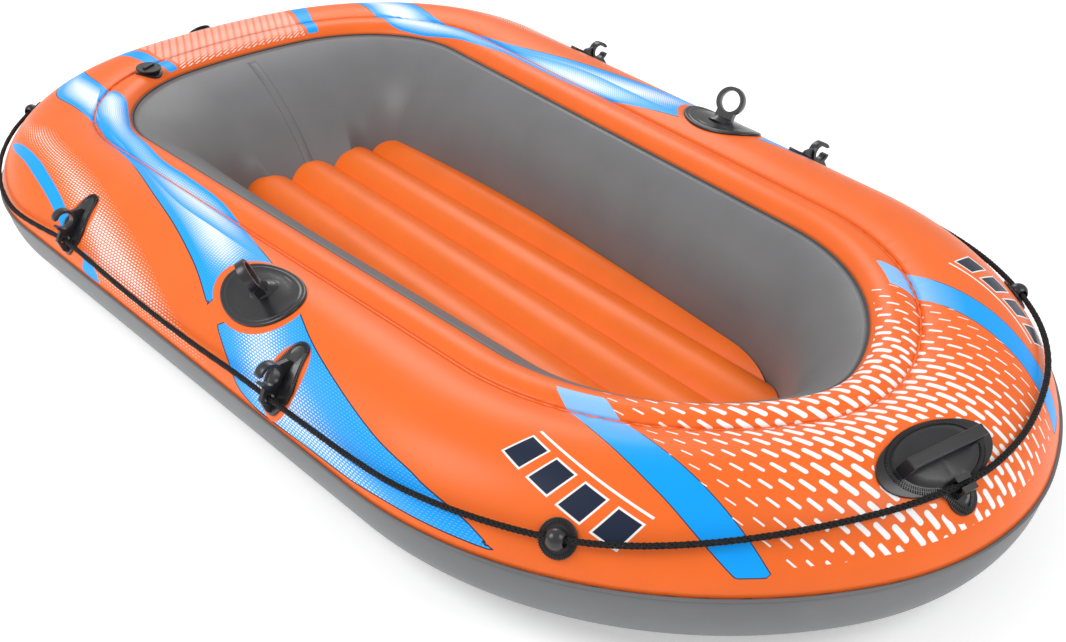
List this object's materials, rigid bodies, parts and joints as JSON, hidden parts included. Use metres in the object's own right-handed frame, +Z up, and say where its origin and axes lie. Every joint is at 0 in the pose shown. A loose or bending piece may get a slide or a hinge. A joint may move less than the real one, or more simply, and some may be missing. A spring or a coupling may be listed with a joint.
{
  "type": "inflatable raft",
  "caption": "Oval inflatable raft with an outer and an inner air chamber, a ridged air floor, oarlocks, oar clips, a bow handle and a grab rope.",
  "frame": {"origin": "on the ground, under the middle of the hull's length and beam", "axes": "+X to the bow, +Y to port, +Z up"},
  "size_m": [1.975, 1.124, 0.2734],
  "materials": {
    "orange_sheet": "satin PVC film",
    "grey_sheet": "satin PVC film",
    "weld": "matt welded film",
    "black_moulding": "satin moulded",
    "valve_plastic": "satin moulded",
    "gasket": "matt",
    "rope": "braided"
  },
  "bodies": {
    "hull": {"outer_top_sheet": "orange_sheet", "inner_top_sheet": "orange_sheet", "floor_top_sheet": "orange_sheet", "outer_bottom_sheet": "grey_sheet", "chamber_divider": "grey_sheet", "inner_wall_sheet": "grey_sheet", "wall_lap_seam": "grey_sheet", "floor_bottom_sheet": "grey_sheet", "floor_webs": "grey_sheet", "floor_edge_strip": "grey_sheet", "perimeter_weld": "weld", "groove_weld": "weld", "inner_edge_weld": "weld", "oarlock_starboard": "black_moulding", "oarlock_port": "black_moulding", "oar_clip_aft_starboard": "black_moulding", "oar_clip_aft_port": "black_moulding", "oar_clip_forward_starboard": "black_moulding", "oar_clip_forward_port": "black_moulding", "grommet_bow_starboard": "black_moulding", "grommet_bow_port": "black_moulding", "grommet_stern_starboard": "black_moulding", "grommet_stern_port": "black_moulding", "bow_handle": "black_moulding", "outer_valve_seat": "valve_plastic", "inner_valve_seat": "valve_plastic", "floor_valve_seat": "valve_plastic", "safety_rope": "rope", "rope_knot": "rope"},
    "outer_valve_ring": {"outer_valve_gasket": "gasket"},
    "outer_valve_cap_body": {"outer_valve_cap": "valve_plastic"},
    "inner_valve_ring": {"inner_valve_gasket": "gasket"},
    "inner_valve_cap_body": {"inner_valve_cap": "valve_plastic"},
    "floor_plug_body": {"floor_valve_plug": "valve_plastic"}
  },
  "joints": [
    {"name": "outer_valve_lift", "type": "slide", "parent": "hull", "child": "outer_valve_ring", "axis": [-0.6428, 0, 0.766], "range_m": [0, 0.0081]},
    {"name": "outer_valve_turn", "type": "hinge", "parent": "outer_valve_ring", "child": "outer_valve_cap_body", "pos_m": [-0.93686, 0, 0.19321], "axis": [-0.6428, 0, 0.766], "range_deg": [0, 720]},
    {"name": "inner_valve_lift", "type": "slide", "parent": "hull", "child": "inner_valve_ring", "axis": [0.0947, 0.0442, 0.9945], "range_m": [0, 0.0081]},
    {"name": "inner_valve_turn", "type": "hinge", "parent": "inner_valve_ring", "child": "inner_valve_cap_body", "pos_m": [-0.74344, -0.19683, 0.22072], "axis": [0.0947, 0.0442, 0.9945], "range_deg": [0, 720]},
    {"name": "floor_plug_pull", "type": "slide", "parent": "hull", "child": "floor_plug_body", "axis": [0, 0, 1], "range_m": [0, 0.015]}
  ],
  "couplings": [
    {"joint": "outer_valve_lift", "follows": "outer_valve_turn", "m_per_rad": 0.00063662},
    {"joint": "inner_valve_lift", "follows": "inner_valve_turn", "m_per_rad": 0.00063662}
  ]
}
